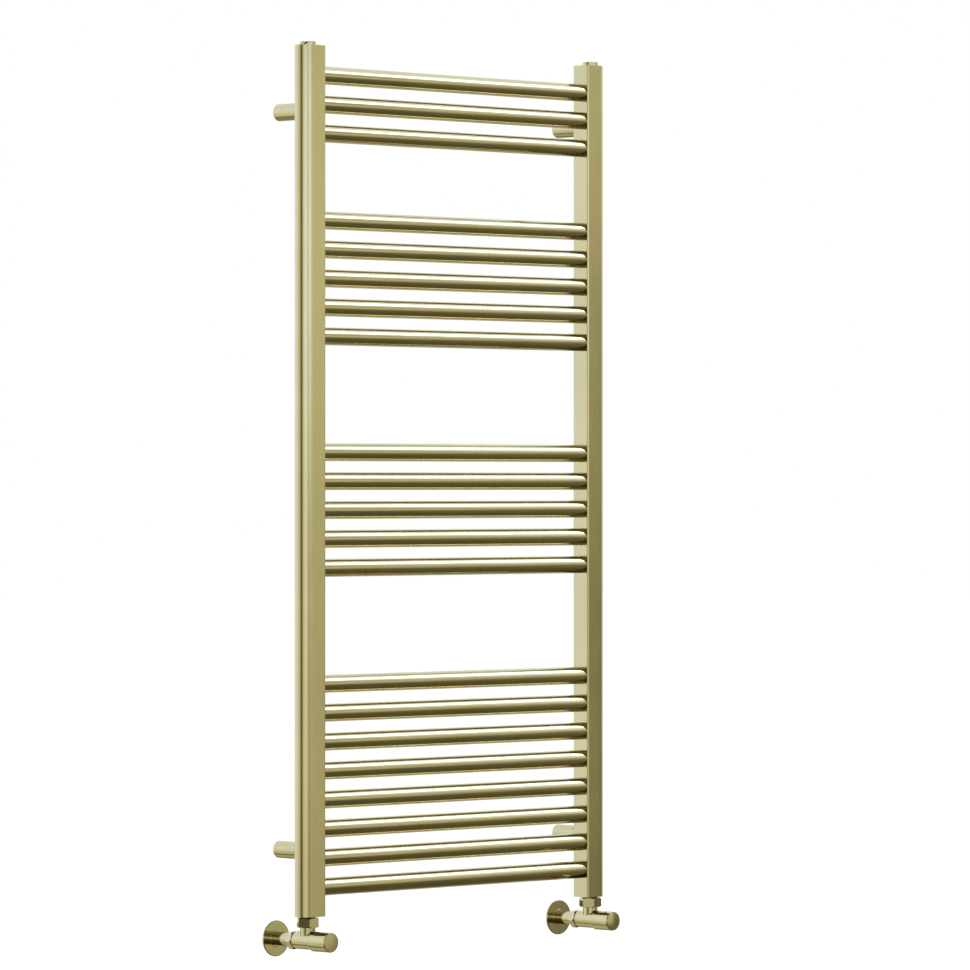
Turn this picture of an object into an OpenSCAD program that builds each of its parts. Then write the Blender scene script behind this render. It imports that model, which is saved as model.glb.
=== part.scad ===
// Wall-hung heated towel rail: two D-section uprights joined by round bars, four stand-off
// brackets, a corner valve under each upright, an air vent and a blanking plug on top.
// Millimetres. X runs along the bars, +Y goes into the wall, +Z is up. The origin lies on the
// wall plane, at the middle of the four wall fixings.

/* [Rack] */
// Height of the uprights
rack_h = 1200; // [1000:10:1800]
// Overall width across both uprights
rack_w = 600; // [400:10:750]
// From the wall to the back of the uprights
wall_gap = 50; // [45:1:80]

/* [Uprights] */
// Width of an upright, from its flat inner face to its round outer face
upright_w = 40; // [38:0.5:50]
// Depth of an upright, front to back
upright_d = 30; // [29.5:0.5:36]
// Wall thickness of an upright
upright_wall = 1.5; // [1:0.1:1.8]
// Radius of an upright's two inner corners
corner_r = 2.5; // [2:0.1:4]

/* [Bars] */
// Outer diameter of a bar
bar_d = 25; // [20:0.5:26]
// Wall thickness of a bar
bar_wall = 1.2; // [0.8:0.1:2]
// From each end of an upright to the centre of the nearest bar
bar_end_margin = 40; // [32:1:60]
// How far a bar's end stands inside the upright's wall
bar_insert = 1; // [0.5:0.1:3]

/* [Wall brackets] */
// From each end of an upright to the centre of its bracket
bracket_end_margin = 90; // [70:1:140]
// From an upright's inner face to the centre of its brackets
bracket_from_face = 16.6; // [13:0.1:20]
// Outer diameter of a bracket sleeve
bracket_d = 24; // [21:0.5:26]
// Wall thickness of a bracket sleeve
bracket_wall = 2; // [1.5:0.1:2.5]
// Shadow gap between the wall and a bracket sleeve
bracket_reveal = 3.7; // [1:0.1:4.5]
// Length of the spigot welded to the back of an upright
bracket_spigot_len = 20; // [14:0.5:26]
// Chamfer on the free end of the spigot
bracket_spigot_edge = 1; // [0.5:0.1:2]
// How far a wall anchor stands into its sleeve, from the wall
anchor_len = 12; // [8:0.5:16]
// Diameter of the wall anchor's foot, in the shadow gap
anchor_foot_d = 16; // [14:0.5:18]
// Thickness of the wall anchor under the head of its wall screw
anchor_floor = 5; // [3:0.5:7]
// Hole for a wall screw
wall_screw_hole = 5.5; // [4:0.1:6.5]
// Recess for the head of a wall screw
wall_screw_recess = 11; // [9:0.5:14]
// Diameter of a grub screw
grub_d = 3; // [2.5:0.5:4]
// Length of a grub screw
grub_len = 4; // [3:0.5:6]
// How deep a grub screw sits below the outside of its sleeve
grub_sunk = 0.5; // [0.2:0.1:1]
// Hexagon socket of a grub screw, across flats
grub_socket = 1.5; // [1.2:0.1:1.6]
// From the back of an upright to the axis of a grub screw
grub_from_rack = 6; // [4:0.5:9]
// Angle of a grub screw above the horizontal, on the inner side
grub_angle = 39; // [0:1:80]

/* [Tappings] */
// From an upright's inner face to the axis of its end tappings
tap_from_face = 20.5; // [18:0.1:23]
// Bore of a tapping
tap_d = 18.6; // [17:0.1:19]
// Depth of a tapping
tap_depth = 14; // [13.5:0.5:20]
// Wall of the boss around a tapping
boss_wall = 3; // [2:0.1:3.5]
// Thickness of the plate that closes an upright's end
end_plate_t = 4; // [2:0.5:6]
// Thickness of the sealing ring at a tapping
ring_t = 1.3; // [1:0.1:1.5]

/* [Top plugs] */
// Outer diameter of a top plug
plug_d = 22.7; // [22:0.1:26]
// Height of a top plug above its upright
plug_h = 5.3; // [5.2:0.1:8]
// Edge chamfer of a top plug
plug_edge = 0.7; // [0.3:0.1:1]
// Length of a top plug's thread
plug_thread = 11; // [9:0.5:13]
// Hexagon socket of the blanking plug, across flats
socket_af = 10; // [8:0.5:12]
// Depth of the blanking plug's hexagon socket
socket_depth = 4; // [2:0.5:5]
// Diameter of the recess around the vent screw's head
vent_recess_d = 11; // [9:0.5:13]
// Depth of the recess around the vent screw's head
vent_recess_depth = 3; // [2:0.1:3.4]
// Width of the half-round outlet in the vent's rim
vent_outlet_d = 7; // [4:0.1:7.4]
// Direction of the vent's outlet, seen from above, 0 along +X
vent_outlet_angle = 215; // [180:1:360]
// Diameter of the vent screw
vent_screw_d = 6; // [5:0.5:7]
// Square head of the vent screw, across flats
vent_square = 5; // [4:0.1:5.5]
// Depth of the vent screw's bore below the upright's end
vent_bore_depth = 7; // [6:0.5:8]
// Diameter of the hole that the vent screw shuts
vent_port_d = 2.4; // [1.5:0.1:3]
// Thickness of the vent's sealing pad
vent_pad_t = 1.2; // [0.8:0.1:2]
// Diameter of the stem that holds the sealing pad in the vent screw
vent_stem_d = 2; // [1.5:0.1:3]
// Diameter of the air groove along the vent screw
vent_groove_d = 1.6; // [1:0.1:2]

/* [Valve bodies] */
// From the lower end of the uprights down to the axis of the valves
valve_drop = 33.3; // [30:0.1:45]
// Outer diameter of a valve barrel
barrel_d = 24; // [23:0.5:25]
// From the tapping's axis back to the barrel's rear end
barrel_back = 21; // [18:0.5:24]
// From the tapping's axis forward to the barrel's front end
barrel_front = 19; // [18.5:0.1:19.5]
// Edge chamfer of a barrel
barrel_edge = 0.5; // [0.2:0.1:1]
// Outer diameter of the upright outlet of a valve
spout_d = 21; // [20.5:0.1:22]
// Bore of the upright outlet of a valve
spout_bore = 14; // [10:0.5:15]
// Outer diameter of the supply pipe
pipe_d = 15; // [14:0.1:15.4]
// Diameter of the port inside the valve seat
port_d = 10; // [6:0.5:11]
// Thickness of the wall that holds the valve seat
seat_t = 3; // [2:0.5:4]
// From the tapping's axis back to the valve seat
seat_back = 9; // [8.5:0.1:10]
// Bore of the chamber in front of the seat
chamber_d = 17.2; // [16.5:0.1:17.8]

/* [Pipe joints] */
// Union nut, across flats
union_af = 28; // [25:0.5:32]
// Height of a union nut
union_h = 13.5; // [11:0.5:16]
// Turn of a union nut about its own axis, one way on the right and the other on the left
union_turn = 4; // [-29:1:30]
// Thickness of the union nut's inward lip
union_lip = 3; // [2:0.1:4]
// Play between a union washer's rims and the parts around it
union_washer_play = 0.4; // [0.2:0.1:0.6]
// Bore of a union tail
tail_bore = 13; // [10:0.5:14]
// How far a union tail stands into its tapping
tail_in = 12; // [8:0.5:13]
// Thickness of a union tail's collar
collar_h = 2.5; // [1.5:0.1:3]
// Thickness of a union washer
union_washer_t = 1.5; // [1:0.1:2]
// Compression nut, across flats
comp_af = 24; // [23:0.5:27]
// Length of a compression nut
comp_len = 10; // [9:0.5:14]
// Turn of a compression nut about its own axis
comp_turn = 8; // [0:1:59]
// Gap left between a barrel and its compression nut
comp_gap = 1; // [0.5:0.1:2]
// Diameter of the thread that a compression nut runs on
comp_thread_d = 19.7; // [19:0.1:20.5]
// How far that thread stands inside the nut
comp_engage = 5; // [3:0.5:6]
// Thickness of the compression nut's inward lip
comp_lip = 2; // [1.5:0.1:2.5]
// Outer diameter of a pipe sleeve
sleeve_d = 18.6; // [17.5:0.1:20]
// Diameter of a wall plate
plate_d = 50.1; // [40:0.1:60]
// Thickness of a wall plate
plate_t = 2.2; // [1.5:0.1:4]
// Edge chamfer of a wall plate
plate_edge = 0.6; // [0.3:0.1:1]
// Edge chamfer of the raised hub
hub_edge = 0.3; // [0.1:0.1:0.6]
// Diameter of the wall plate's raised hub
hub_d = 23; // [21.5:0.5:28]
// Height of the hub above the wall plate
hub_h = 0.8; // [0.4:0.1:3]

/* [Valve heads] */
// Wall thickness of a valve head's skirt
head_wall = 1.45; // [1.2:0.05:3]
// Length of a valve head
head_len = 33.7; // [33:0.1:40]
// From the tapping's axis forward to a head's rear rim
head_from_tap = 13.6; // [12.5:0.1:14]
// Thickness of a head's front wall
head_front_t = 3.3; // [2:0.1:4]
// Rounding of the handwheel's front edge
wheel_edge = 1.5; // [0.4:0.1:3]
// Rounding of the lockshield cap's front edge
cap_edge = 2.5; // [0.4:0.1:3]
// Rise of the handwheel's domed face over its whole radius
wheel_dome = 0.3; // [0.1:0.1:1.2]
// Rise of the lockshield cap's domed face over its whole radius
cap_dome = 1; // [0.1:0.1:1.2]
// Diameter of the flat at the middle of each head's domed face
face_flat_d = 5; // [2:0.5:8]
// From the tapping's axis forward to the bonnet's inner end
bonnet_from_tap = 8; // [7.6:0.1:9]
// Thread diameter of a bonnet
bonnet_d = 18.3; // [18:0.1:19.5]
// Diameter of a bonnet's flange
flange_d = 21; // [20:0.5:23]
// Thickness of a bonnet's flange
flange_h = 2; // [1.5:0.1:3]
// Diameter of a bonnet's neck
neck_d = 14; // [12.5:0.5:17]
// Length of a bonnet's neck
neck_len = 6; // [5:0.1:7]
// Diameter of a spindle
spindle_d = 8; // [8:0.1:8.6]
// Square drive of a spindle, across flats
drive_af = 5.6; // [4.5:0.1:5.6]
// Length of a spindle's square drive
drive_len = 9; // [6:0.5:9.5]
// Section of the sealing ring around a spindle
stem_ring_t = 1.5; // [1:0.1:1.6]
// Diameter of a valve plug
valve_plug_d = 14; // [12:0.1:15.5]
// Diameter of the nose that carries a valve plug's washer
nose_d = 4; // [3:0.1:5]
// Length of a valve plug
valve_plug_len = 7; // [6.5:0.1:8]
// Thickness of a valve plug's sealing washer
plug_washer_t = 2.5; // [1.5:0.1:3]
// Length of the grip ring inside the lockshield cap
grip_len = 4; // [2:0.5:4.5]

/* [Clearances] */
// Between pieces that are welded, pressed or screwed face to face
seat_gap = 0.05; // [0.02:0.01:0.1]
// Radial play of a thread, a spigot or a pressed piece
thread_gap = 0.05; // [0.02:0.01:0.1]
// Radial play of a turning or sliding piece in its bore
run_gap = 0.05; // [0.02:0.01:0.1]
// Between faces that move apart
stop_gap = 0.3; // [0.2:0.05:0.5]
// Radial gap between a head's skirt and its barrel
skirt_gap = 0.35; // [0.3:0.05:0.6]
// Radial play of the supply pipe in its socket
pipe_gap = 0.1; // [0.05:0.05:0.3]
// Radial play between the supply pipe and its sleeve
sleeve_gap = 0.3; // [0.2:0.1:0.6]

/* [Hidden] */
$fn = 96;
// Steps around the large circle that a head's domed face is part of
dome_steps = 720;
// Overshoot of a cutting shape past the face that it cuts
cut = 1;
// Chamfer on an edge that no one sees
small_edge = 0.2;
// Share of a nut's flat that its turned corners start from, and the slope of that turning
nut_turning = 0.97;
nut_slope = 0.6;
LEFT = -1;
RIGHT = 1;
TOP = 1;
BOTTOM = -1;

brass = [0.76, 0.69, 0.45];
dark_brass = [0.62, 0.52, 0.28];
steel = [0.55, 0.55, 0.53];
rubber = [0.12, 0.12, 0.12];
nylon = [0.86, 0.85, 0.80];

// Bars in each group from the top, and the empty rows under each group but the last
bar_groups = [3, 5, 5, 8];
empty_rows = [2, 3, 3];

// Sum of the first n items of a list
function sum(list, n) = n <= 0 ? 0 : list[n - 1] + sum(list, n - 1);
// Group that bar i belongs to, where the first bar is 1 and the first group is 0
function group_of(i, g = 0) = i <= sum(bar_groups, g + 1) ? g : group_of(i, g + 1);
// Rows between the top bar and bar i
function bar_row(i) = i - 1 + sum(empty_rows, group_of(i));

bar_count = sum(bar_groups, len(bar_groups));
bar_pitch = (rack_h - 2 * bar_end_margin) / bar_row(bar_count);
function bar_z(i) = rack_h / 2 - bar_end_margin - bar_pitch * bar_row(i);
function bar_name(i) = str("bar_", i < 10 ? "0" : "", i);

// Uprights
face_x = rack_w / 2 - upright_w;
mid_y = -wall_gap - upright_d / 2;
bar_len = 2 * (face_x + upright_wall + bar_insert);

// Brackets
bracket_x = face_x + bracket_from_face;
bracket_z = rack_h / 2 - bracket_end_margin;
bracket_bore_r = bracket_d / 2 - bracket_wall;
spigot_r = bracket_bore_r - thread_gap;
grub_outer = bracket_d / 2 - grub_sunk;
grub_inner = grub_outer - grub_len;
grub_socket_depth = 1.2;

// Tappings and top plugs
tap_x = face_x + tap_from_face;
thread_r = tap_d / 2 - thread_gap;
ring_room = ring_t + 2 * seat_gap;
ring_mid_r = thread_r + seat_gap + ring_t / 2;
vent_floor = plug_h - vent_recess_depth;
pad_bottom = -vent_bore_depth + stop_gap;
pad_stem_len = 1.5;

// Union between an upright and its valve, measured down from the upright's end
collar_top = ring_room + union_lip + seat_gap;
washer_top = collar_top + collar_h + seat_gap;
spout_top = washer_top + union_washer_t + seat_gap;

// Stations along a valve's axis: 0 at the tapping's axis, positive to the front
valve_z = -rack_h / 2 - valve_drop;
// How far the square drive starts in front of the bonnet's neck
drive_rise = 1.5;
// Metal left at each end of the neck, beside the stem ring and the grip ring
neck_margin = 1;
wall_station = mid_y;
plate_front = wall_station + plate_t;
nut_front = -barrel_back - comp_gap;
nut_rear = nut_front - comp_len;
thread_end = nut_front - comp_engage;
socket_end = -seat_back - seat_t;
head_cavity_r = barrel_d / 2 + skirt_gap;
head_front = head_from_tap + head_len;
head_cavity_end = head_front - head_front_t;
flange_back = barrel_front + seat_gap;
neck_back = flange_back + flange_h;
neck_front = neck_back + neck_len;
drive_back = neck_front + drive_rise;
washer_back = -seat_back + stop_gap;
valve_plug_back = washer_back + plug_washer_t + seat_gap;
valve_plug_front = valve_plug_back + valve_plug_len;
pipe_socket_r = pipe_d / 2 + pipe_gap;
spindle_r = spindle_d / 2;
// The spindle's swivel: a flange turns inside the valve plug, on a thinner stub
swivel_step = 0.8;
stub_step = 1.5;
swivel_r = spindle_r - swivel_step;
stub_r = spindle_r - stub_step;
swivel_t = 1.2;
swivel_cover = 2;
swivel_front = valve_plug_front - swivel_cover;
stem_ring_back = neck_back + neck_margin;

// Places. Each puts its children's origin and +Z where the comment says.

// Inner face of an upright, +X outwards
module at_upright(side) {
    translate([side * face_x, mid_y, 0])
        mirror([side < 0 ? 1 : 0, 0, 0])
            children();
}

// Axis of a tapping at the end of its upright, +Z out of the upright
module at_tapping(side, end) {
    translate([side * tap_x, mid_y, end * rack_h / 2])
        mirror([0, 0, end < 0 ? 1 : 0])
            children();
}

// Axis of a bracket on the wall plane, +Z away from the wall
module at_bracket(side, level) {
    translate([side * bracket_x, 0, level * bracket_z])
        rotate([90, 0, 0])
            children();
}

// Axis of a valve under its tapping, +Z to the front and +Y up
module at_valve(side) {
    translate([side * tap_x, mid_y, valve_z])
        rotate([90, 0, 0])
            children();
}

// Shapes

// Outline of an upright: flat on one side, half round on the other
module d_outline(w, d, corner) {
    round_r = d / 2;
    translate([corner, -d / 2])
        square([w - round_r - corner, d]);
    translate([0, corner - d / 2])
        square([w - round_r, d - 2 * corner]);
    translate([w - round_r, 0])
        circle(r = round_r);
    for (s = [-1, 1])
        translate([corner, s * (d / 2 - corner)])
            circle(r = corner);
}

// Outline of an upright's hollow, drawn in by a gap all round
module hollow_outline(gap = 0) {
    inset = upright_wall + gap;
    translate([inset, 0])
        d_outline(upright_w - 2 * inset, upright_d - 2 * inset, corner_r - inset);
}

// Straight round tube between two stations
module tube(r_out, r_in, z0, z1) {
    difference() {
        translate([0, 0, z0])
            cylinder(r = r_out, h = z1 - z0);
        translate([0, 0, z0 - cut])
            cylinder(r = r_in, h = z1 - z0 + 2 * cut);
    }
}

// Plain round cut between two stations
module bore(r, z0, z1) {
    translate([0, 0, z0])
        cylinder(r = r, h = z1 - z0);
}

// Round bar with chamfered ends between two stations
module chamfered(r, z0, z1, e0, e1) {
    rotate_extrude()
        polygon([
            [0, z0], [r - e0, z0], [r, z0 + e0],
            [r, z1 - e1], [r - e1, z1], [0, z1]
        ]);
}

// Ring with a round section
module o_ring(mid_r, t, z) {
    translate([0, 0, z])
        rotate_extrude()
            translate([mid_r, 0])
                circle(d = t, $fn = 32);
}

// Hexagon blank with its corners turned down at both ends
module hex_blank(af, z0, z1) {
    corner = af / 2 / cos(30);
    drop = corner - nut_turning * af / 2;
    slope = nut_slope * drop;
    intersection() {
        translate([0, 0, z0])
            cylinder(r = corner, h = z1 - z0, $fn = 6);
        rotate_extrude()
            polygon([
                [0, z0], [corner - drop, z0], [corner, z0 + slope],
                [corner, z1 - slope], [corner - drop, z1], [0, z1]
            ]);
    }
}

// Rack frame

module upright(side) {
    color(brass)
        at_upright(side)
            difference() {
                translate([0, 0, -rack_h / 2])
                    linear_extrude(rack_h)
                        difference() {
                            d_outline(upright_w, upright_d, corner_r);
                            hollow_outline();
                        }
                for (i = [1 : bar_count])
                    translate([0, 0, bar_z(i)])
                        rotate([0, 90, 0])
                            bore(bar_d / 2 + thread_gap, -cut, upright_wall + cut);
            }
}

module bar(i) {
    color(brass)
        translate([0, mid_y, bar_z(i)])
            rotate([0, 90, 0])
                tube(bar_d / 2, bar_d / 2 - bar_wall, -bar_len / 2, bar_len / 2);
}

module end_cap(side, end) {
    difference() {
        union() {
            at_upright(side)
                mirror([0, 0, end < 0 ? 1 : 0])
                    translate([0, 0, rack_h / 2 - end_plate_t])
                        linear_extrude(end_plate_t)
                            hollow_outline(seat_gap);
            at_tapping(side, end)
                bore(tap_d / 2 + boss_wall, -tap_depth, -end_plate_t / 2);
        }
        at_tapping(side, end)
            bore(tap_d / 2, -tap_depth - cut, cut);
    }
}

module end_caps() {
    color(brass)
        for (side = [LEFT, RIGHT])
            for (end = [TOP, BOTTOM])
                end_cap(side, end);
}

// Wall brackets

// Direction of a grub screw around its bracket's axis
function grub_turn(side) = side > 0 ? 180 - grub_angle : grub_angle;

module at_grub(side) {
    translate([0, 0, wall_gap - grub_from_rack])
        rotate([0, 0, grub_turn(side)])
            rotate([0, 90, 0])
                children();
}

module bracket_sleeve(side, level) {
    color(brass)
        at_bracket(side, level)
            difference() {
                tube(bracket_d / 2, bracket_bore_r, bracket_reveal, wall_gap - seat_gap);
                at_grub(side)
                    bore(grub_d / 2 + thread_gap, 0, bracket_d / 2 + cut);
            }
}

module bracket_spigot(side) {
    difference() {
        chamfered(
            spigot_r, wall_gap - bracket_spigot_len, wall_gap - seat_gap,
            bracket_spigot_edge, 0
        );
        at_grub(side)
            bore(grub_d / 2 + thread_gap, grub_inner - seat_gap, spigot_r + cut);
    }
}

module bracket_spigots() {
    color(steel)
        for (side = [LEFT, RIGHT])
            for (level = [TOP, BOTTOM])
                at_bracket(side, level)
                    bracket_spigot(side);
}

module wall_anchor() {
    difference() {
        union() {
            bore(anchor_foot_d / 2, 0, anchor_len);
            bore(spigot_r, bracket_reveal, anchor_len);
        }
        bore(wall_screw_hole / 2, -cut, anchor_len + cut);
        bore(wall_screw_recess / 2, anchor_floor, anchor_len + cut);
    }
}

module wall_anchors() {
    color(steel)
        for (side = [LEFT, RIGHT])
            for (level = [TOP, BOTTOM])
                at_bracket(side, level)
                    wall_anchor();
}

module grub_screw() {
    difference() {
        bore(grub_d / 2, grub_inner, grub_outer);
        translate([0, 0, grub_outer - grub_socket_depth])
            cylinder(d = grub_socket / cos(30), h = grub_socket_depth + cut, $fn = 6);
    }
}

module grub_screws() {
    color(dark_brass)
        for (side = [LEFT, RIGHT])
            for (level = [TOP, BOTTOM])
                at_bracket(side, level)
                    at_grub(side)
                        grub_screw();
}

// Top plugs

// Head, thread and ring groove that the vent and the blanking plug share
module plug_blank() {
    difference() {
        chamfered(plug_d / 2, seat_gap, plug_h, small_edge, plug_edge);
        tube(ring_mid_r + ring_t / 2 + seat_gap, thread_r, -cut, ring_room);
    }
    bore(thread_r, -plug_thread, plug_h / 2);
}

module vent_body() {
    screw_bore_r = vent_screw_d / 2 + run_gap;
    color(brass)
        at_tapping(LEFT, TOP)
            difference() {
                plug_blank();
                bore(vent_recess_d / 2, vent_floor, plug_h + cut);
                bore(screw_bore_r, -vent_bore_depth, plug_h);
                bore(vent_port_d / 2, -plug_thread - cut, 0);
                // Groove that lets the air past the screw's thread
                translate([screw_bore_r, 0, 0])
                    bore(vent_groove_d / 2, -vent_bore_depth, plug_h);
                translate([0, 0, plug_h])
                    rotate([0, 90, vent_outlet_angle])
                        bore(vent_outlet_d / 2, 0, plug_d / 2 + cut);
            }
}

module vent_seal() {
    color(rubber)
        at_tapping(LEFT, TOP) {
            bore(vent_screw_d / 2 - stop_gap, pad_bottom, pad_bottom + vent_pad_t);
            bore(vent_stem_d / 2, pad_bottom, pad_bottom + vent_pad_t + pad_stem_len);
        }
}

module vent_screw() {
    tip = pad_bottom + vent_pad_t + 2 * run_gap;
    head_back = vent_floor + stop_gap;
    color(dark_brass)
        at_tapping(LEFT, TOP)
            difference() {
                union() {
                    bore(vent_screw_d / 2, tip, head_back + stop_gap);
                    translate([-vent_square / 2, -vent_square / 2, head_back])
                        cube([vent_square, vent_square, plug_h - head_back]);
                }
                bore(vent_stem_d / 2 + run_gap, tip - cut, tip + pad_stem_len);
            }
}

module blanking_plug() {
    color(brass)
        at_tapping(RIGHT, TOP)
            difference() {
                plug_blank();
                translate([0, 0, plug_h - socket_depth])
                    cylinder(d = socket_af / cos(30), h = socket_depth + cut, $fn = 6);
            }
}

module tapping_rings() {
    color(rubber)
        for (side = [LEFT, RIGHT])
            for (end = [TOP, BOTTOM])
                at_tapping(side, end)
                    o_ring(ring_mid_r, ring_t, ring_room / 2);
}

// Unions between the uprights and the valves

module union_tails() {
    color(dark_brass)
        for (side = [LEFT, RIGHT])
            at_tapping(side, BOTTOM)
                difference() {
                    union() {
                        bore(thread_r, -tail_in, collar_top + collar_h / 2);
                        bore(spout_d / 2 - thread_gap, collar_top, collar_top + collar_h);
                    }
                    bore(tail_bore / 2, -tail_in - cut, collar_top + collar_h + cut);
                }
}

module union_nuts() {
    color(brass)
        for (side = [LEFT, RIGHT])
            at_tapping(side, BOTTOM)
                difference() {
                    rotate([0, 0, side * union_turn])
                        hex_blank(union_af, ring_room, ring_room + union_h);
                    bore(thread_r + thread_gap, 0, ring_room + union_h);
                    bore(spout_d / 2 + thread_gap, ring_room + union_lip, ring_room + union_h + cut);
                }
}

module union_washers() {
    color(rubber)
        for (side = [LEFT, RIGHT])
            at_tapping(side, BOTTOM)
                tube(
                    (spout_d - union_washer_play) / 2,
                    (max(tail_bore, spout_bore) + union_washer_play) / 2,
                    washer_top, washer_top + union_washer_t
                );
}

// Valve bodies and what joins them to the supply pipe

module valve_body(side) {
    color(brass)
        difference() {
            union() {
                at_valve(side)
                    chamfered(barrel_d / 2, -barrel_back, barrel_front, barrel_edge, barrel_edge);
                at_valve(side)
                    bore(comp_thread_d / 2, thread_end, 0);
                at_tapping(side, BOTTOM)
                    bore(spout_d / 2, spout_top, valve_drop);
            }
            at_tapping(side, BOTTOM)
                bore(spout_bore / 2, spout_top - cut, valve_drop);
            at_valve(side) {
                bore(pipe_socket_r, thread_end - cut, socket_end);
                bore(port_d / 2, socket_end - cut, 0);
                bore(chamber_d / 2, -seat_back, barrel_front + cut);
                bore(bonnet_d / 2, bonnet_from_tap, barrel_front + cut);
            }
        }
}

module compression_nuts() {
    color(brass)
        for (side = [LEFT, RIGHT])
            at_valve(side)
                difference() {
                    rotate([0, 0, comp_turn])
                        hex_blank(comp_af, nut_rear, nut_front);
                    bore(pipe_socket_r, nut_rear - cut, nut_front);
                    bore(comp_thread_d / 2 + thread_gap, nut_rear + comp_lip, nut_front + cut);
                }
}

// A soft ring, tapered at both ends, that the nut squeezes onto the pipe
module olives() {
    z0 = nut_rear + comp_lip + seat_gap;
    z1 = thread_end - seat_gap;
    r0 = pipe_socket_r;
    r1 = comp_thread_d / 2 - stop_gap;
    taper = (z1 - z0) / 4;
    color(dark_brass)
        for (side = [LEFT, RIGHT])
            at_valve(side)
                rotate_extrude()
                    polygon([
                        [r0, z0], [(r0 + r1) / 2, z0], [r1, z0 + taper],
                        [r1, z1 - taper], [(r0 + r1) / 2, z1], [r0, z1]
                    ]);
}

module pipe_sleeve(side) {
    color(brass)
        at_valve(side)
            tube(sleeve_d / 2, pipe_d / 2 + sleeve_gap, wall_station, nut_rear - seat_gap);
}

module wall_plate(side) {
    color(brass)
        at_valve(side)
            difference() {
                union() {
                    chamfered(plate_d / 2, wall_station, plate_front, small_edge, plate_edge);
                    chamfered(hub_d / 2, wall_station, plate_front + hub_h, 0, hub_edge);
                }
                bore(sleeve_d / 2 + pipe_gap, wall_station - cut, plate_front + hub_h + cut);
            }
}

// Bonnets, spindles and plugs

module bonnets() {
    color(dark_brass)
        for (side = [LEFT, RIGHT])
            at_valve(side)
                difference() {
                    union() {
                        bore(bonnet_d / 2 - thread_gap, bonnet_from_tap + seat_gap, neck_back);
                        bore(flange_d / 2, flange_back, neck_back);
                        bore(neck_d / 2, flange_back, neck_front);
                    }
                    bore(spindle_r + run_gap, bonnet_from_tap - cut, neck_front + cut);
                    bore(
                        spindle_r + run_gap + stem_ring_t + seat_gap,
                        stem_ring_back, stem_ring_back + stem_ring_t + 2 * seat_gap
                    );
                }
}

module stem_rings() {
    color(rubber)
        for (side = [LEFT, RIGHT])
            at_valve(side)
                o_ring(
                    spindle_r + run_gap + stem_ring_t / 2, stem_ring_t,
                    stem_ring_back + stem_ring_t / 2 + seat_gap
                );
}

// Slides with the spindle and shuts the port, without turning
module valve_plug(side) {
    color(dark_brass)
        at_valve(side)
            difference() {
                union() {
                    bore(valve_plug_d / 2, valve_plug_back, valve_plug_front);
                    bore(nose_d / 2, washer_back, valve_plug_front);
                }
                bore(stub_r + run_gap, swivel_front - swivel_t, valve_plug_front + cut);
                bore(swivel_r + run_gap, swivel_front - swivel_t - 2 * run_gap, swivel_front);
            }
}

module plug_washer(side) {
    color(rubber)
        at_valve(side)
            tube(
                valve_plug_d / 2 - seat_gap, nose_d / 2 + seat_gap,
                washer_back, washer_back + plug_washer_t
            );
}

module spindle(side) {
    swivel_z = swivel_front - run_gap;
    color(dark_brass)
        at_valve(side) {
            bore(swivel_r, swivel_z - swivel_t, swivel_z);
            bore(stub_r, swivel_z - swivel_t, valve_plug_front + stop_gap + cut);
            bore(spindle_r, valve_plug_front + stop_gap, drive_back);
            translate([-drive_af / 2, -drive_af / 2, drive_back - cut])
                cube([drive_af, drive_af, drive_len + cut]);
        }
}

// Heads

// Cup with a rounded front edge and a slightly domed face, open to the rear
module head_shell(edge, dome) {
    outer = head_cavity_r + head_wall;
    dome_r = (outer * outer + dome * dome) / (2 * dome);
    flat_drop = dome_r - sqrt(dome_r * dome_r - pow(face_flat_d / 2, 2));
    rotate_extrude()
        difference() {
            intersection() {
                union() {
                    translate([0, head_from_tap])
                        square([outer, head_len - edge]);
                    translate([0, head_from_tap])
                        square([outer - edge, head_len]);
                    translate([outer - edge, head_front - edge])
                        circle(r = edge);
                }
                translate([0, head_front + flat_drop - dome_r])
                    circle(r = dome_r, $fn = dome_steps);
            }
            translate([-cut, head_from_tap - cut])
                square([head_cavity_r + cut, head_cavity_end - head_from_tap + cut]);
        }
}

module handwheel() {
    color(brass)
        at_valve(LEFT)
            head_shell(wheel_edge, wheel_dome);
}

module lockshield_cap() {
    color(brass)
        at_valve(RIGHT)
            head_shell(cap_edge, cap_dome);
}

// Carries the handwheel on the spindle's square drive
module wheel_insert() {
    socket = drive_af + 2 * thread_gap;
    color(nylon)
        at_valve(LEFT)
            difference() {
                bore(head_cavity_r - thread_gap, drive_back, head_cavity_end - seat_gap);
                translate([-socket / 2, -socket / 2, drive_back - cut])
                    cube([socket, socket, drive_len + cut + seat_gap]);
            }
}

// Holds the lockshield cap on the bonnet's neck
module cap_insert() {
    ring_back = neck_front - neck_margin - grip_len;
    color(nylon)
        at_valve(RIGHT)
            tube(head_cavity_r - thread_gap, neck_d / 2 + run_gap, ring_back, ring_back + grip_len);
}

upright(LEFT);  // upright_left
upright(RIGHT);  // upright_right
for (i = [1 : bar_count])
    bar(i);
end_caps();
bracket_spigots();
bracket_sleeve(LEFT, TOP);  // bracket_sleeve_top_left
bracket_sleeve(RIGHT, TOP);  // bracket_sleeve_top_right
bracket_sleeve(LEFT, BOTTOM);  // bracket_sleeve_bottom_left
bracket_sleeve(RIGHT, BOTTOM);  // bracket_sleeve_bottom_right
wall_anchors();
grub_screws();
vent_body();
vent_seal();
vent_screw();
blanking_plug();
tapping_rings();
valve_body(LEFT);  // valve_body_left
valve_body(RIGHT);  // valve_body_right
union_tails();
union_nuts();
union_washers();
compression_nuts();
olives();
pipe_sleeve(LEFT);  // pipe_sleeve_left
pipe_sleeve(RIGHT);  // pipe_sleeve_right
wall_plate(LEFT);  // wall_plate_left
wall_plate(RIGHT);  // wall_plate_right
bonnets();
stem_rings();
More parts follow.
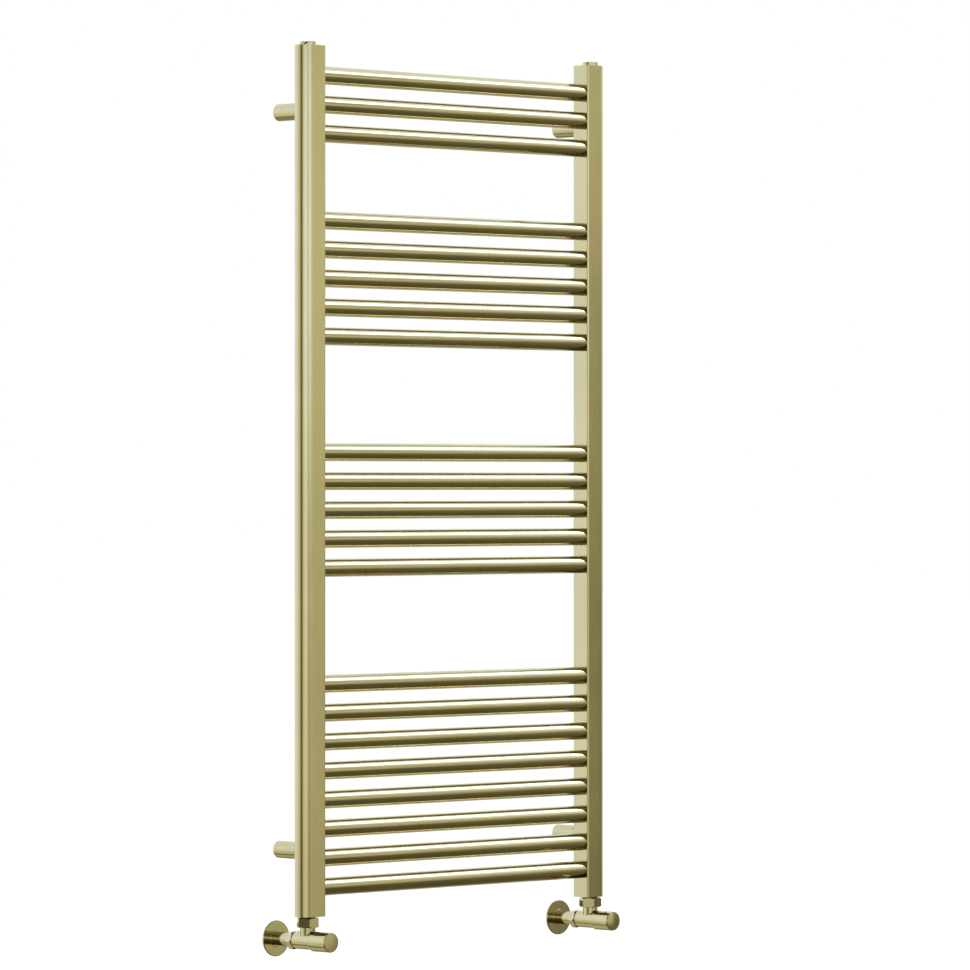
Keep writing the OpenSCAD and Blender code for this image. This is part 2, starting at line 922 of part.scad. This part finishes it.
valve_plug(LEFT);  // valve_plug_left
valve_plug(RIGHT);  // valve_plug_right
plug_washer(LEFT);  // plug_washer_left
plug_washer(RIGHT);  // plug_washer_right
spindle(LEFT);  // spindle_left
spindle(RIGHT);  // spindle_right
handwheel();
wheel_insert();
lockshield_cap();
cap_insert();
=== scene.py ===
import bpy
import math
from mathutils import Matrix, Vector


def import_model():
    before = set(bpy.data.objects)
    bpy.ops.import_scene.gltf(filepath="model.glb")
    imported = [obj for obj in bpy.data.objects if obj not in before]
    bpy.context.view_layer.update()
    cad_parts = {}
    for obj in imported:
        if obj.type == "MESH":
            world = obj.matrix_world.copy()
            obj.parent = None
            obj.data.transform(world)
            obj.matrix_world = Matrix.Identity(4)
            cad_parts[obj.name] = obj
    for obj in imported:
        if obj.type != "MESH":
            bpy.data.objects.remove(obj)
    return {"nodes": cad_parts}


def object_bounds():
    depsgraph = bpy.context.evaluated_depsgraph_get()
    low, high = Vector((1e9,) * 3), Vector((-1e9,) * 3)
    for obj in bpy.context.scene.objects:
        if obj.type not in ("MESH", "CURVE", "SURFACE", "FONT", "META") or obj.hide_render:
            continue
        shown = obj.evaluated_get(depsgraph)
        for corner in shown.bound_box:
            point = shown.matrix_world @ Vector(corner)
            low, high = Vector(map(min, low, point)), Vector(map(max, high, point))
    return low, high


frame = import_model()
low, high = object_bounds()
NODES = frame["nodes"]


# ---------------------------------------------------------------- materials

# Colours, linear
PALE_BRASS = (0.540, 0.501, 0.262)
RAW_BRASS = (0.560, 0.430, 0.190)
STEEL = (0.500, 0.500, 0.480)
BLACK_RUBBER = (0.012, 0.012, 0.012)
CREAM_PLASTIC = (0.62, 0.60, 0.52)

# Grains per metre along each axis; a grain is long where the number is small
GRAIN_UP = (1400.0, 1400.0, 25.0)
GRAIN_ACROSS = (25.0, 1400.0, 1400.0)
GRAIN_FORWARD = (1200.0, 60.0, 1200.0)
GRAIN_OF_PLUGS = (900.0, 900.0, 60.0)
GRAIN_OF_CUTTING = (700.0, 700.0, 700.0)

# Larger patterns, in patches per metre
CLOUDS = (9.0, 9.0, 9.0)
MOTTLE = (120.0, 120.0, 120.0)
BRUSH_MARKS = (3.0, 3.0, 3.0)

# Roughness, and how far the patterns move it
SATIN = 0.13
CUT_BRASS = 0.24
CUT_STEEL = 0.30
GRAIN_SHINE = 0.035
CLOUD_SHINE = 0.015
MOULDED_SHINE = 0.06


class Tree:
    """A small helper for building nodes."""

    def __init__(self, tree):
        self.tree = tree

    def add(self, kind, **settings):
        node = self.tree.nodes.new(kind)
        for key, value in settings.items():
            setattr(node, key, value)
        return node

    def link(self, a, b):
        self.tree.links.new(a, b)

    def larger(self, a, b):
        m = self.add("ShaderNodeMath", operation="MAXIMUM")
        self.link(a, m.inputs[0])
        self.link(b, m.inputs[1])
        return m.outputs[0]

    def seen(self):
        """1 for what the camera sees straight, in metal or through glass, and 0 for the rest."""
        path = self.add("ShaderNodeLightPath")
        return self.larger(path.outputs["Is Camera Ray"],
                           self.larger(path.outputs["Is Glossy Ray"],
                                       path.outputs["Is Transmission Ray"]))


class Paint(Tree):
    """A material in the making."""

    def __init__(self, name):
        self.material = bpy.data.materials.new(name)
        self.material.use_nodes = True
        super().__init__(self.material.node_tree)
        self.shader = self.tree.nodes["Principled BSDF"]

    def place(self, scale):
        """Object coordinates, which are the row frame's, times a scale along each axis."""
        coords = self.add("ShaderNodeTexCoord")
        mapping = self.add("ShaderNodeMapping")
        mapping.inputs["Scale"].default_value = scale
        self.link(coords.outputs["Object"], mapping.inputs["Vector"])
        return mapping.outputs["Vector"]

    def noise(self, vector, detail, rough):
        n = self.add("ShaderNodeTexNoise")
        n.inputs["Scale"].default_value = 1.0
        n.inputs["Detail"].default_value = detail
        n.inputs["Roughness"].default_value = rough
        self.link(vector, n.inputs["Vector"])
        return n.outputs["Fac"]

    def spread(self, value, low_out, high_out):
        """Stretch a noise's usual range, 0.3 to 0.7, to another."""
        m = self.add("ShaderNodeMapRange")
        m.inputs["From Min"].default_value = 0.3
        m.inputs["From Max"].default_value = 0.7
        m.inputs["To Min"].default_value = low_out
        m.inputs["To Max"].default_value = high_out
        self.link(value, m.inputs["Value"])
        return m.outputs["Result"]

    def mix(self, factor, a, b):
        m = self.add("ShaderNodeMix")
        m.data_type = "RGBA"
        m.inputs["A"].default_value = (*a, 1)
        m.inputs["B"].default_value = (*b, 1)
        self.link(factor, m.inputs["Factor"])
        return m.outputs["Result"]

    def vary(self, fac, colour, darkest, lightest):
        """Move the base colour between two shades of one colour."""
        self.link(self.mix(self.spread(fac, 0.0, 1.0),
                           tuple(c * darkest for c in colour),
                           tuple(c * lightest for c in colour)),
                  self.shader.inputs["Base Color"])

    def bump(self, height, strength, distance):
        b = self.add("ShaderNodeBump")
        b.inputs["Strength"].default_value = strength
        b.inputs["Distance"].default_value = distance
        self.link(height, b.inputs["Height"])
        self.link(b.outputs["Normal"], self.shader.inputs["Normal"])
        return b


def metal(name, colour, roughness, grain, edge, grain_depth=0.000004, cloud=0.05):
    """Metal with a fine grain, a little cloudiness and edges softened by a radius of edge."""
    n = Paint(name)
    n.shader.inputs["Metallic"].default_value = 1.0
    fine = n.noise(n.place(grain), 2.0, 0.6)
    broad = n.noise(n.place(CLOUDS), 3.0, 0.5)
    n.vary(broad, colour, 1 - cloud, 1 + cloud)
    both = n.add("ShaderNodeMath", operation="ADD")
    n.link(n.spread(fine, -GRAIN_SHINE, GRAIN_SHINE), both.inputs[0])
    n.link(n.spread(broad, roughness - CLOUD_SHINE, roughness + CLOUD_SHINE), both.inputs[1])
    n.link(both.outputs[0], n.shader.inputs["Roughness"])
    bump = n.bump(fine, 1.0, grain_depth)
    if edge:
        bevel = n.add("ShaderNodeBevel", samples=6)
        bevel.inputs["Radius"].default_value = edge
        n.link(bevel.outputs["Normal"], bump.inputs["Normal"])
    return n.material


def moulded(name, colour, roughness, grain=2500.0, depth=0.00002):
    """Rubber or plastic with a fine moulded texture."""
    n = Paint(name)
    speck = n.noise(n.place((grain, grain, grain)), 3.0, 0.6)
    broad = n.noise(n.place(MOTTLE), 2.0, 0.5)
    n.vary(broad, colour, 0.85, 1.12)
    n.link(n.spread(speck, roughness - MOULDED_SHINE, roughness + MOULDED_SHINE),
           n.shader.inputs["Roughness"])
    n.bump(speck, 0.6, depth)
    return n.material


upright_metal = metal("upright_brass", PALE_BRASS, SATIN, GRAIN_UP, edge=0.0003)
bar_metal = metal("bar_brass", PALE_BRASS, SATIN, GRAIN_ACROSS, edge=0.0)
fitting_metal = metal("fitting_brass", PALE_BRASS, SATIN, GRAIN_FORWARD, edge=0.00025)
plug_metal = metal("plug_brass", PALE_BRASS, SATIN, GRAIN_OF_PLUGS, edge=0.00025)
raw_metal = metal("machined_brass", RAW_BRASS, CUT_BRASS, GRAIN_OF_CUTTING, edge=0.0001)
steel_metal = metal("machined_steel", STEEL, CUT_STEEL, GRAIN_OF_CUTTING, edge=0.0002)
seal = moulded("seal_rubber", BLACK_RUBBER, 0.55)
plastic = moulded("insert_plastic", CREAM_PLASTIC, 0.45)


def dress(material, *names):
    """Give a material to the CAD nodes named; a name that ends in * covers all that start so."""
    for name in names:
        for node, obj in NODES.items():
            if node == name or (name.endswith("*") and node.startswith(name[:-1])):
                for slot in obj.material_slots:
                    slot.material = material


dress(upright_metal, "upright_*", "end_caps")
dress(bar_metal, "bar_*")
dress(fitting_metal, "bracket_sleeve_*", "valve_body_*", "compression_nuts", "pipe_sleeve_*",
      "wall_plate_*", "handwheel", "lockshield_cap")
dress(plug_metal, "vent_body", "blanking_plug", "union_nuts")
dress(raw_metal, "vent_screw", "grub_screws", "union_tails", "olives", "bonnets", "spindle_*",
      "valve_plug_*")
dress(steel_metal, "bracket_spigots", "wall_anchors")
dress(seal, "vent_seal", "tapping_rings", "union_washers", "stem_rings", "plug_washer_*")
dress(plastic, "wheel_insert", "cap_insert")


# ---------------------------------------------------------------- floor

FLOOR_SIZE = 60.0        # metres along each side
FLOOR_BELOW = 0.25       # from the rail's lowest point down to the floor
FLOOR_STEPS = 8
FLOOR_GREY = (0.80, 0.80, 0.80)
FLOOR_PALE = (0.82, 0.82, 0.82)
FLOOR_LIFT = 0.62        # brings the floor to white for the camera, and leaves its shadows


def add_object(name, data):
    obj = bpy.data.objects.new(name, data)
    bpy.context.scene.collection.objects.link(obj)
    return obj


def grid_faces(across, up):
    """The faces of a grid of points, given row by row."""
    row = across + 1
    return [(j * row + i, j * row + i + 1, (j + 1) * row + i + 1, (j + 1) * row + i)
            for j in range(up) for i in range(across)]


def floor_sheet(size, z):
    mesh = bpy.data.meshes.new("floor")
    places = [size * (i / FLOOR_STEPS - 0.5) for i in range(FLOOR_STEPS + 1)]
    mesh.from_pydata([(x, y, z) for y in places for x in places], [],
                     grid_faces(FLOOR_STEPS, FLOOR_STEPS))
    n = Paint("floor_paint")
    paint = n.noise(n.place(BRUSH_MARKS), 4.0, 0.5)
    n.link(n.mix(n.spread(paint, 0.0, 1.0), FLOOR_GREY, FLOOR_PALE),
           n.shader.inputs["Base Color"])
    n.shader.inputs["Roughness"].default_value = 0.9
    n.shader.inputs["Specular IOR Level"].default_value = 0.0
    lift = n.add("ShaderNodeMath", operation="MULTIPLY")
    lift.inputs[1].default_value = FLOOR_LIFT
    n.link(n.seen(), lift.inputs[0])
    n.shader.inputs["Emission Color"].default_value = (1, 1, 1, 1)
    n.link(lift.outputs[0], n.shader.inputs["Emission Strength"])
    mesh.materials.append(n.material)
    obj = add_object("floor", mesh)
    # The metal sees the studio shell in the floor's place
    obj.visible_glossy = False


floor_sheet(FLOOR_SIZE, low.z - FLOOR_BELOW)


# ---------------------------------------------------------------- studio in the metal

SHELL_RADIUS = 12.0
SHELL_LIMIT = 88         # degrees that the shell reaches above and below the horizon
SHELL_ACROSS, SHELL_UP = 180, 140
SHELL_GLOW = 1.15

# The tint of a tone: green and blue as shares of red. Dark tones are warm, bright ones cool.
GREEN_SHARE = [(0.15, 0.85), (0.35, 0.885), (0.6, 0.93), (0.8, 0.96), (1.05, 1.04)]
BLUE_SHARE = [(0.1, 0.50), (0.2, 0.61), (0.6, 0.72), (0.8, 0.80), (0.95, 1.11), (1.1, 1.42)]


def between(x, stops):
    """Straight-line steps between (position, value) pairs."""
    if x <= stops[0][0]:
        return stops[0][1]
    for (x0, v0), (x1, v1) in zip(stops, stops[1:]):
        if x <= x1:
            return v0 + (v1 - v0) * (x - x0) / (x1 - x0)
    return stops[-1][1]


def shell_tone(turn, rise):
    """How bright the studio is in one direction. A turn of 0 is straight in front of the rail
    and 90 is to its right; rise is the sine of the angle above the horizon."""
    # In front and to the left: tall pale screens above, a duller room below
    screens = between(turn, [(-64, 0.93), (-54, 1.08), (-43, 1.20), (-32, 1.18), (-21, 0.97),
                             (-10, 0.90), (1, 1.36), (12, 1.16), (25, 0.86), (43, 0.79)])
    room = between(turn, [(-64, 0.77), (-53, 0.87), (-32, 0.94), (-21, 0.80), (-10, 0.47),
                          (1, 0.50), (12, 0.62), (25, 0.62), (43, 0.66)])
    room *= between(rise, [(-0.9, 0.08), (-0.45, 0.14), (-0.22, 0.34), (-0.12, 1.0)])
    left = between(rise, [(-0.03, room), (0.05, 1.04 * screens), (0.12, screens), (0.21, 0.24)])
    # To the right: a dark panel on a dark floor, then a paler wall
    panel = between(rise, [(-0.60, 0.12), (-0.45, 0.17), (-0.30, 0.20), (-0.07, 0.20),
                           (0.01, 0.30), (0.08, 0.52), (0.17, 0.80), (0.25, 0.98), (0.35, 1.10)])
    right = between(rise, [(-0.60, 0.12), (-0.30, 0.25), (-0.07, 0.55), (0.07, 0.78),
                           (0.3, 1.10)])
    # Behind on the right: the same wall with a pale strip low down, then a corner
    under = between(rise, [(-0.75, 0.15), (-0.66, 0.25), (-0.59, 0.56), (-0.45, 0.56),
                           (-0.24, 0.34), (-0.07, 0.55), (0.07, 0.78), (0.3, 1.0)])
    nook = between(rise, [(-0.62, 0.18), (-0.3, 0.40), (-0.05, 0.90), (0.1, 1.0)])
    # Behind: a white backdrop that darkens below, with a dark line near its foot
    back = between(rise, [(-1.0, 0.30), (-0.80, 0.45), (-0.73, 0.64), (-0.69, 0.60),
                          (-0.655, 0.26), (-0.60, 0.26), (-0.55, 0.58), (-0.48, 0.84),
                          (-0.35, 0.90), (-0.2, 0.95), (0.0, 1.04), (0.25, 1.08)])
    # Behind on the left: the backdrop's end
    corner = between(rise, [(-0.62, 0.05), (-0.5, 0.08), (-0.3, 0.6), (-0.1, 1.0)])
    # The panel's left edge leans over towards the floor
    side = between(rise, [(-0.5, 48.0), (-0.4, 47.0), (-0.3, 43.5), (0.0, 43.0)])
    tone = between(turn, [(-142, back), (-130, corner), (-88, corner), (-80, left), (side, left),
                          (side + 4, panel), (62, panel), (74, right), (98, right), (112, under),
                          (132, under), (147, nook), (160, back)])
    # A dark gap between the front screens and the backdrop
    tone *= between(turn, [(-135, 1.0), (-123, 0.91), (-110, 0.76), (-98, 0.58), (-89, 0.15),
                           (-82, 0.15), (-74, 0.5), (-66, 1.0)])
    # The ceiling is dark in front and to the left, and bright elsewhere
    ceiling = between(turn, [(-135, 1.0), (-112, 0.45), (-88, 0.40), (-60, 0.16), (30, 0.16),
                             (45, 1.1), (80, 1.06), (100, 0.97), (155, 0.90), (172, 1.0)])
    return between(rise, [(0.42, tone), (0.54, ceiling)])


def studio_shell():
    """A graded shell far around the rail, which shows in the metal and nowhere else."""
    mesh = bpy.data.meshes.new("studio_shell")
    points, colours = [], []
    for j in range(SHELL_UP + 1):
        rise = math.radians(-SHELL_LIMIT + 2 * SHELL_LIMIT * j / SHELL_UP)
        for i in range(SHELL_ACROSS + 1):
            turn = -180 + 360 * i / SHELL_ACROSS
            a = math.radians(turn)
            points.append((SHELL_RADIUS * math.cos(rise) * math.sin(a),
                           -SHELL_RADIUS * math.cos(rise) * math.cos(a),
                           SHELL_RADIUS * math.sin(rise)))
            tone = shell_tone(turn, math.sin(rise))
            colours.append((tone, tone * between(tone, GREEN_SHARE),
                            tone * between(tone, BLUE_SHARE), 1))
    mesh.from_pydata(points, [], grid_faces(SHELL_ACROSS, SHELL_UP))
    tint = mesh.color_attributes.new("tone", "FLOAT_COLOR", "POINT")
    for k, colour in enumerate(colours):
        tint.data[k].color = colour
    n = Paint("studio_shell_paint")
    read = n.add("ShaderNodeVertexColor", layer_name="tone")
    n.shader.inputs["Base Color"].default_value = (0, 0, 0, 1)
    n.shader.inputs["Specular IOR Level"].default_value = 0.0
    n.shader.inputs["Roughness"].default_value = 1.0
    n.link(read.outputs["Color"], n.shader.inputs["Emission Color"])
    n.shader.inputs["Emission Strength"].default_value = SHELL_GLOW
    n.material.cycles.emission_sampling = "NONE"
    mesh.materials.append(n.material)
    obj = add_object("studio_shell", mesh)
    obj.visible_camera = False
    obj.visible_diffuse = False
    obj.visible_shadow = False
    obj.visible_transmission = False
    obj.visible_volume_scatter = False


studio_shell()


# ---------------------------------------------------------------- light

WORLD_GLOW = 0.55
KEY_FROM = Vector((0.706, -0.455, 0.584))
KEY_DISTANCE = 8.0
KEY_WIDTH, KEY_HEIGHT = 4.6, 1.8
KEY_GLOW = 3.4
KEY_COLOUR = (0.92, 0.98, 1.50)


def world(glow):
    """White to the camera and in the metal, and a softer even light for everything else."""
    w = bpy.data.worlds.new("studio")
    bpy.context.scene.world = w
    w.use_nodes = True
    w.node_tree.nodes.clear()
    n = Tree(w.node_tree)
    level = n.add("ShaderNodeMapRange")
    level.inputs["To Min"].default_value = glow
    level.inputs["To Max"].default_value = 1.0
    n.link(n.seen(), level.inputs["Value"])
    background = n.add("ShaderNodeBackground")
    background.inputs["Color"].default_value = (1, 1, 1, 1)
    n.link(level.outputs["Result"], background.inputs["Strength"])
    out = n.add("ShaderNodeOutputWorld")
    n.link(background.outputs[0], out.inputs["Surface"])


def key_lamp(aim):
    """A rectangular lamp whose face glows at KEY_GLOW, high on the right."""
    data = bpy.data.lights.new("key_box", "AREA")
    data.shape = "RECTANGLE"
    data.size = KEY_WIDTH
    data.size_y = KEY_HEIGHT
    data.energy = KEY_GLOW * math.pi * KEY_WIDTH * KEY_HEIGHT
    data.color = KEY_COLOUR
    obj = add_object("key_box", data)
    obj.location = aim + KEY_FROM.normalized() * KEY_DISTANCE
    obj.rotation_euler = (aim - obj.location).to_track_quat("-Z", "Y").to_euler()


world(WORLD_GLOW)
key_lamp((low + high) / 2)


# ---------------------------------------------------------------- camera

camera = add_object("camera", bpy.data.cameras.new("camera"))
camera.data.lens = 217.0
camera.data.sensor_width = 36.0
camera.data.clip_end = 100.0
# Solved on the photograph's uprights, bars, brackets and valves
camera.location = (-5.8098, -5.9225, -0.0067)
camera.rotation_euler = (math.radians(90), 0, math.radians(-45.09))
camera.data.shift_x = -0.0005
camera.data.shift_y = 0.00085
bpy.context.scene.camera = camera
bpy.context.scene.view_settings.view_transform = "Standard"
